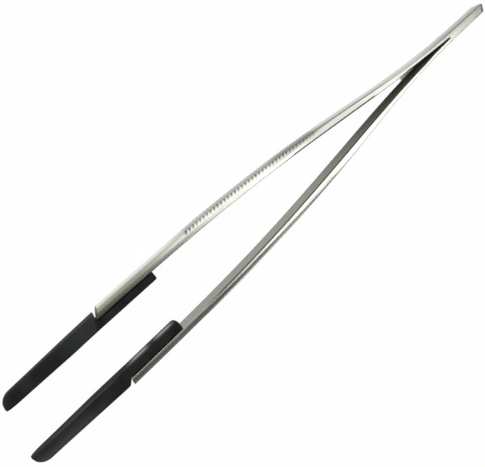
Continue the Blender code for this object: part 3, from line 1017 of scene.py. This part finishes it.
# %% Inside of the strips
# Painted shade of the inside: darker steel, nearly black by the weld, and darker still on the corners.
SHADED_INSIDE_STEEL = (0.462, 0.462, 0.421)
INSIDE_RIM = (0.5, 0.5, 0.48)
WELD_SHADE = (0.12, 0.123, 0.095)
CORNER_SHADE_STEEL = (0.05, 0.05, 0.042)
WELD_SHADE_FADES = (0.055, 0.145)


def inside_shade_steel():
    """Streaky steel that comes out of the painted black by the weld, with the painted corner shade over both."""
    inner = Finish("inside_shade_steel", roughness=0.30, metallic=1.0, colour=SHADED_INSIDE_STEEL)
    inner.shader.inputs["Specular IOR Level"].default_value = 0.0
    inner.shader.inputs["Specular Tint"].default_value = (*INSIDE_RIM, 1.0)
    lines = inner.group(LINES, inner.surface_map(), Lines_per_metre=2600.0, Streaks_per_metre=18.0)
    marks = inner.group(MARKS, inner.place_map(), Clouds_per_metre=150.0, Grains_per_metre=6000.0)
    clear_of_weld_shade = inner.eased(inner.mask("from_butt"), *WELD_SHADE_FADES)
    streaks = inner.scaled(lines.outputs["Streaks"], low=0.0, high=0.5, span=STREAK_SPAN)
    tone = inner.mix(clear_of_weld_shade, WELD_SHADE, inner.mix(streaks, SHADED_INSIDE_STEEL, DULL_STEEL))
    tone = inner.mix(inner.scaled(inner.mask("burr"), low=0.0, high=0.85), tone, CORNER_SHADE_STEEL)
    inner.link(tone, inner.shader.inputs["Base Color"])
    inner.link(clear_of_weld_shade, inner.shader.inputs["Metallic"])
    gloss = inner.scaled(marks.outputs["Clouds"], low=0.26, high=0.36, span=NOISE_SPAN)
    inner.link(gloss, inner.shader.inputs["Roughness"])
    return inner.material


inner_finish = inside_shade_steel()
for word in SIDES:
    arms[word].data.materials.append(steel_finish)
    arms[word].data.materials.append(inner_finish)
    print(arms[word].name, "has", [material.name for material in arms[word].data.materials])

# %% [markdown]
# ## Black plastic and dowels
#
# The tips are moulded in black plastic with a low sheen. Its grain is too fine to see as bumps, but it breaks
# up the highlights. A clear coat puts painted glints on the inner side, and a painted sheen makes places on the
# noses a little greyer. The hidden dowels are plain turned steel.

# %% Black plastic
PLASTIC = (0.016, 0.018, 0.019)
DARK_PLASTIC, LIGHT_PLASTIC = (0.012, 0.0135, 0.0135), (0.021, 0.0225, 0.023)
SHEEN_PLASTIC = (0.055, 0.055, 0.055)
CLOUD_SPAN = (0.35, 0.7)


def tip_plastic():
    """Dark and light clouds, with a grey painted sheen mixed over them; the coat is the painted glint mask itself.
    """
    plastic = Finish("tip_plastic", roughness=0.36, metallic=0.0, colour=PLASTIC)
    plastic.shader.inputs["Specular IOR Level"].default_value = 0.02
    plastic.shader.inputs["Coat Roughness"].default_value = 0.15
    plastic.shader.inputs["Coat IOR"].default_value = 2.0
    marks = plastic.group(MARKS, plastic.place_map(), Clouds_per_metre=160.0, Grains_per_metre=4200.0)
    clouds, grain = marks.outputs["Clouds"], marks.outputs["Grain"]
    cloudy = plastic.scaled(clouds, low=0.0, high=1.0, span=CLOUD_SPAN)
    tone = plastic.mix(cloudy, DARK_PLASTIC, LIGHT_PLASTIC)
    tone = plastic.mix(plastic.mask("scuffed"), tone, SHEEN_PLASTIC)
    plastic.link(tone, plastic.shader.inputs["Base Color"])
    gloss = plastic.sum(
        plastic.scaled(clouds, low=0.40, high=0.52, span=NOISE_SPAN),
        plastic.scaled(grain, low=-0.03, high=0.05, span=NOISE_SPAN),
    )
    plastic.link(gloss, plastic.shader.inputs["Roughness"])
    plastic.link(plastic.mask("rubbed"), plastic.shader.inputs["Coat Weight"])
    return plastic.material


plastic_finish = tip_plastic()
for word in SIDES:
    tips[word].data.materials.append(plastic_finish)
    print(plastic_finish.name, "on", tips[word].name)

# %% Dowel steel
DOWEL_STEEL = (0.50, 0.50, 0.49)
DARK_DOWEL, LIGHT_DOWEL = (0.46, 0.46, 0.45), (0.55, 0.55, 0.54)


def dowel_steel():
    """Dark and light clouds, with a grain in the roughness."""
    dowel = Finish("dowel_steel", roughness=0.35, metallic=1.0, colour=DOWEL_STEEL)
    marks = dowel.group(MARKS, dowel.place_map(), Clouds_per_metre=400.0, Grains_per_metre=9000.0)
    tone = dowel.mix(marks.outputs["Clouds"], DARK_DOWEL, LIGHT_DOWEL)
    dowel.link(tone, dowel.shader.inputs["Base Color"])
    gloss = dowel.scaled(marks.outputs["Grain"], low=0.28, high=0.42)
    dowel.link(gloss, dowel.shader.inputs["Roughness"])
    return dowel.material


dowel_finish = dowel_steel()
pins = sorted(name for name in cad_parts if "_pin_" in name)
for name in pins:
    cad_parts[name].data.materials.clear()
    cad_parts[name].data.materials.append(dowel_finish)
print("dowels:", pins)

# %% [markdown]
# ## Table
#
# The tweezers lie on their side edges on a plain white table. The photograph's table is so bright that hardly
# any shadow is left, so for the camera and in reflections most of it is plain white, and the rest is ordinary
# paint that takes the shadow. Only in the narrow wedge where the strips part is the shadow deep. There the
# table is ordinary paint alone.

# %% Table paint
WHITE_SHARE = 0.96
TABLE_PAINT = (0.86, 0.86, 0.86)
WEDGE_HALF_WIDTH, WEDGE_SIDE_FADE = 0.00175, 0.0001
WEDGE_REAR, WEDGE_REAR_FADE = BOW_START + 0.0200, 0.002
WEDGE_DARK_TO, WEDGE_WHITE_FROM = BOW_START + 0.0503, BOW_START + 0.0517


def outside_wedge(paint):
    """1 where the table is beside, ahead of or behind the wedge between the strips, and 0 in it."""
    split = paint.add("ShaderNodeSeparateXYZ")
    paint.link(paint.place_map(), split.inputs[0])
    off_middle = paint.add("ShaderNodeMath", operation="ABSOLUTE")
    paint.link(split.outputs["Y"], off_middle.inputs[0])
    beside = paint.eased(off_middle.outputs[0], WEDGE_HALF_WIDTH, WEDGE_HALF_WIDTH + WEDGE_SIDE_FADE)
    ahead = paint.eased(split.outputs["X"], WEDGE_DARK_TO, WEDGE_WHITE_FROM)
    rear_span = (WEDGE_REAR, WEDGE_REAR + WEDGE_REAR_FADE)
    behind = paint.scaled(split.outputs["X"], low=1.0, high=0.0, span=rear_span)
    return paint.scaled(paint.sum(beside, ahead, behind), low=0.0, high=1.0)


def white_table():
    """Paint, mixed with WHITE_SHARE of plain white for the rays of the camera, mirrors and glass."""
    paint = Finish("white_table", roughness=0.6, metallic=0.0, colour=TABLE_PAINT)
    white = paint.add("ShaderNodeEmission")
    white.inputs["Strength"].default_value = 1.0
    rays = paint.add("ShaderNodeLightPath")
    seen = paint.sum(*(rays.outputs[f"Is {kind} Ray"] for kind in ("Camera", "Glossy", "Transmission")))
    share = times(paint.tree, paint.scaled(seen, low=0.0, high=WHITE_SHARE), outside_wedge(paint))
    both = paint.add("ShaderNodeMixShader")
    paint.link(share, both.inputs[0])
    paint.link(paint.shader.outputs[0], both.inputs[1])
    paint.link(white.outputs[0], both.inputs[2])
    paint.link(both.outputs[0], paint.tree.nodes["Material Output"].inputs["Surface"])
    return paint.material


table_finish = white_table()
print(table_finish.name, "is", round(100 * WHITE_SHARE), "per cent plain white")

# %% Table top
TABLE_HALF_SIZE = 1.5


def table_top():
    """One square, TABLE_HALF_SIZE from the middle to each side, at the height where the tweezers lie."""
    corners = np.array([[-1, -1, 0], [1, -1, 0], [1, 1, 0], [-1, 1, 0]]) * TABLE_HALF_SIZE
    mesh = bpy.data.meshes.new("table_top")
    mesh.from_pydata(corners.tolist(), [], [(0, 1, 2, 3)])
    mesh.materials.append(table_finish)
    top = bpy.data.objects.new("table_top", mesh)
    bpy.context.scene.collection.objects.link(top)
    return top


table = table_top()
print(table.name, "has", table.data.materials[0].name)

# %% [markdown]
# ## Light
#
# Polished steel shows its surroundings, so the surroundings are the light. The room itself is dim. A long panel
# on the ceiling puts the bright line on the edges of the strips, and a panel beyond the tips lights the plastic.
# Two upright cards, one on each side of the table, give the round parts their soft fall-off.

# %% Room and panels
ROOM_LIGHT = 0.10
PANELS = {  # place, aim, size, power
    "ceiling_panel": ((-0.46, -0.405, 0.70), (-0.46, -0.4049, 0.0), (0.52, 1.59), 5.35),
    "tip_panel": ((0.70, -0.10, 0.70), (0.0, 0.0, 0.0), (0.6, 0.6), 7.0),
    "side_card": ((-0.15, -0.90, 0.25), (-0.15, 0.0, 0.25), (1.5, 0.5), 3.2),
    "far_card": ((-0.75, 0.90, 0.40), (-0.75, 0.0, 0.40), (0.7, 0.7), 1.4),
}


def room():
    """A world of even white light, dimmed to ROOM_LIGHT."""
    world = bpy.data.worlds.new("room")
    bpy.context.scene.world = world
    world.use_nodes = True
    background = world.node_tree.nodes["Background"]
    background.inputs["Color"].default_value = (1.0, 1.0, 1.0, 1.0)
    background.inputs["Strength"].default_value = ROOM_LIGHT


def panel(name, place, aim, size, power):
    """A rectangle of light that faces its aim."""
    light = bpy.data.lights.new(name, "AREA")
    light.shape = "RECTANGLE"
    light.size, light.size_y = size
    light.energy = power
    lamp = bpy.data.objects.new(name, light)
    lamp.location = place
    lamp.rotation_euler = (Vector(aim) - Vector(place)).to_track_quat("-Z", "Y").to_euler()
    bpy.context.scene.collection.objects.link(lamp)


room()
for name, row in PANELS.items():
    panel(name, *row)

# %% [markdown]
# ## Camera
#
# The photograph was taken from close by, above the tips, with the camera turned so that the tweezers run from
# corner to corner. The place, turn and lens were worked out from the outline of both arms.

# %% Camera
FOCAL_PIXELS = 858.8
IMAGE_WIDTH = 485
SENSOR_WIDTH = 36.0
NEAR_LIMIT = 0.01
CAMERA_AIM = Vector((0.019742, 0.003158, 0.0))
CAMERA_AZIMUTH, CAMERA_TILT, CAMERA_ROLL = 0.92797, 0.42821, 2.39184
CAMERA_DISTANCE = 0.3453856


def photo_camera():
    """Stands CAMERA_DISTANCE from the aim, tilted off the vertical and turned round it, then rolled.

    Before the roll, the picture's right is the X axis made square to the line of sight.
    """
    aside, upwards = math.sin(CAMERA_TILT), math.cos(CAMERA_TILT)
    back = Vector((aside * math.sin(CAMERA_AZIMUTH), -aside * math.cos(CAMERA_AZIMUTH), upwards))
    level = (Vector((1.0, 0.0, 0.0)) - back * back.x).normalized()
    rise = back.cross(level)
    right = level * math.cos(CAMERA_ROLL) + rise * math.sin(CAMERA_ROLL)
    up = rise * math.cos(CAMERA_ROLL) - level * math.sin(CAMERA_ROLL)
    data = bpy.data.cameras.new("photo_camera")
    data.sensor_width = SENSOR_WIDTH
    data.lens = FOCAL_PIXELS * SENSOR_WIDTH / IMAGE_WIDTH
    data.clip_start = NEAR_LIMIT
    camera = bpy.data.objects.new("photo_camera", data)
    camera.matrix_world = Matrix((right, up, back)).transposed().to_4x4()
    camera.location = CAMERA_AIM + back * CAMERA_DISTANCE
    bpy.context.scene.collection.objects.link(camera)
    bpy.context.scene.camera = camera
    return camera


camera = photo_camera()
bpy.context.scene.view_settings.view_transform = "Standard"
print("camera at", [round(c, 4) for c in camera.location], "lens", round(camera.data.lens, 2), "mm")

# %% [markdown]
# ## The size
#
# The looks must not change the size of the object.
